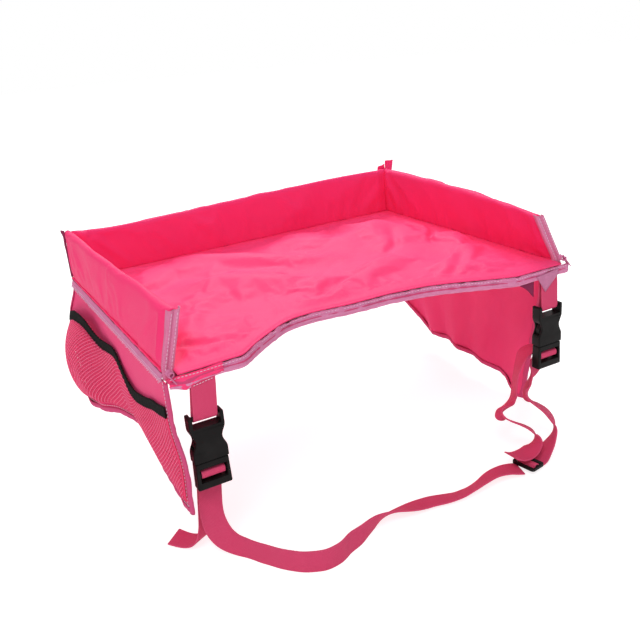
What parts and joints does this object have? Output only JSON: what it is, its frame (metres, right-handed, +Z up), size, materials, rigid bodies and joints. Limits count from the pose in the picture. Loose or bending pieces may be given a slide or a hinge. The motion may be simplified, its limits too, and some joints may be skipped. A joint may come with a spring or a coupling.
{
  "type": "car seat tray table",
  "caption": "Soft-sided play tray for a child's car seat: low boarded walls, a front cut-out for the body, hanging side flaps with mesh pockets, and a buckled webbing strap.",
  "frame": {"origin": "the middle of the tray's flat underside, where it rests on the lap or on the seat's arms", "axes": "+X to the tray's right as the child's side is faced, +Y away from the child towards the back wall, +Z up"},
  "size_m": [0.4585, 0.3753, 0.2348],
  "materials": {
    "floor_cloth": "woven polyester, bright pink",
    "wall_cloth": "woven polyester, deep pink",
    "flap_cloth": "woven polyester, rose pink",
    "net": "knitted mesh, rose pink",
    "binding": "lilac pink tape",
    "webbing": "woven polyester webbing",
    "elastic": "black elastic band",
    "moulding": "satin black moulding",
    "board": "plain stiffening sheet"
  },
  "bodies": {
    "tray": {"base_cover": "flap_cloth", "tray_board": "board", "floor_cover": "floor_cloth", "back_wall_sleeve": "wall_cloth", "back_wall_board": "board", "left_wall_sleeve": "wall_cloth", "left_wall_board": "board", "right_wall_sleeve": "wall_cloth", "right_wall_board": "board", "front_edge_binding": "binding", "left_wall_end_binding": "binding", "right_wall_end_binding": "binding", "left_side_binding": "binding", "right_side_binding": "binding", "back_base_binding": "binding", "back_left_corner_seam": "binding", "back_right_corner_seam": "binding"},
    "left_flap": {"left_flap": "flap_cloth", "left_flap_hem": "binding", "left_flap_front_binding": "binding", "left_mesh_pocket": "net", "left_pocket_elastic": "elastic"},
    "right_flap": {"right_flap": "flap_cloth", "right_flap_hem": "binding", "right_flap_front_binding": "binding", "right_mesh_pocket": "net", "right_pocket_elastic": "elastic"},
    "left_tab": {"left_tab_webbing": "binding"},
    "left_socket": {"left_buckle_socket": "moulding"},
    "right_tab": {"right_tab_webbing": "binding"},
    "right_socket": {"right_buckle_socket": "moulding"},
    "left_plug": {"left_buckle_plug": "moulding", "left_plug_webbing": "webbing", "strap_run": "webbing", "strap_tail": "webbing"},
    "right_plug": {"right_buckle_plug": "moulding", "right_plug_webbing": "webbing", "strap_loop_out": "webbing", "strap_loop_back": "webbing"},
    "left_plug_left_prong": {"left_plug_left_prong": "moulding"},
    "left_plug_right_prong": {"left_plug_right_prong": "moulding"},
    "right_plug_left_prong": {"right_plug_left_prong": "moulding"},
    "right_plug_right_prong": {"right_plug_right_prong": "moulding"},
    "slider": {"slider": "moulding", "slider_webbing": "webbing"}
  },
  "joints": [
    {"name": "left_flap_swing", "type": "hinge", "parent": "tray", "child": "left_flap", "pos_m": [-0.2019, 0, 0], "axis": [0, 1, 0], "range_deg": [0, 95]},
    {"name": "right_flap_swing", "type": "hinge", "parent": "tray", "child": "right_flap", "pos_m": [0.2019, 0, 0], "axis": [0, -1, 0], "range_deg": [0, 95]},
    {"name": "left_tab_swing", "type": "hinge", "parent": "tray", "child": "left_tab", "pos_m": [-0.177, -0.1542, -0.0019], "axis": [-1, 0, 0], "range_deg": [-30, 80], "deforming": ["strap_run", "strap_tail", "strap_loop_out", "strap_loop_back"]},
    {"name": "right_tab_swing", "type": "hinge", "parent": "tray", "child": "right_tab", "pos_m": [0.177, -0.1542, -0.0019], "axis": [-1, 0, 0], "range_deg": [-30, 80], "deforming": ["strap_run", "strap_tail", "strap_loop_out", "strap_loop_back"]},
    {"name": "left_buckle_swing", "type": "hinge", "parent": "left_tab", "child": "left_socket", "pos_m": [-0.177, -0.1542, -0.0333], "axis": [-1, 0, 0], "range_deg": [-45, 60], "deforming": ["strap_run", "strap_tail", "strap_loop_out", "strap_loop_back"]},
    {"name": "right_buckle_swing", "type": "hinge", "parent": "right_tab", "child": "right_socket", "pos_m": [0.177, -0.1542, -0.0333], "axis": [-1, 0, 0], "range_deg": [-45, 60], "deforming": ["strap_run", "strap_tail", "strap_loop_out", "strap_loop_back"]},
    {"name": "left_plug_release", "type": "slide", "parent": "left_socket", "child": "left_plug", "axis": [0, 0, -1], "range_m": [0, 0.03], "deforming": ["left_plug_left_prong", "left_plug_right_prong", "strap_run", "strap_tail", "strap_loop_out", "strap_loop_back"]},
    {"name": "left_plug_left_prong_squeeze", "type": "hinge", "parent": "left_plug", "child": "left_plug_left_prong", "pos_m": [-0.1841, -0.1542, -0.0708], "axis": [0, 1, 0], "range_deg": [0, 12], "stiffness_Nm_per_rad": 0.4},
    {"name": "left_plug_right_prong_squeeze", "type": "hinge", "parent": "left_plug", "child": "left_plug_right_prong", "pos_m": [-0.1699, -0.1542, -0.0708], "axis": [0, -1, 0], "range_deg": [0, 12], "stiffness_Nm_per_rad": 0.4},
    {"name": "right_plug_release", "type": "slide", "parent": "right_socket", "child": "right_plug", "axis": [0, 0, -1], "range_m": [0, 0.03], "deforming": ["right_plug_left_prong", "right_plug_right_prong", "strap_run", "strap_tail", "strap_loop_out", "strap_loop_back"]},
    {"name": "right_plug_left_prong_squeeze", "type": "hinge", "parent": "right_plug", "child": "right_plug_left_prong", "pos_m": [0.1699, -0.1542, -0.0708], "axis": [0, 1, 0], "range_deg": [0, 12], "stiffness_Nm_per_rad": 0.4},
    {"name": "right_plug_right_prong_squeeze", "type": "hinge", "parent": "right_plug", "child": "right_plug_right_prong", "pos_m": [0.1841, -0.1542, -0.0708], "axis": [0, -1, 0], "range_deg": [0, 12], "stiffness_Nm_per_rad": 0.4},
    {"name": "slider_slide", "type": "slide", "parent": "left_plug", "child": "slider", "axis": [-0.9848, -0.1736, 0], "range_m": [0, 0.18], "deforming": ["strap_run", "strap_tail", "strap_loop_out", "strap_loop_back"]}
  ],
  "couplings": [
    {"joint": "right_tab_swing", "follows": "left_tab_swing", "ratio": 1},
    {"joint": "right_buckle_swing", "follows": "left_buckle_swing", "ratio": 1},
    {"joint": "left_plug_right_prong_squeeze", "follows": "left_plug_left_prong_squeeze", "ratio": 1},
    {"joint": "right_plug_right_prong_squeeze", "follows": "right_plug_left_prong_squeeze", "ratio": 1}
  ]
}
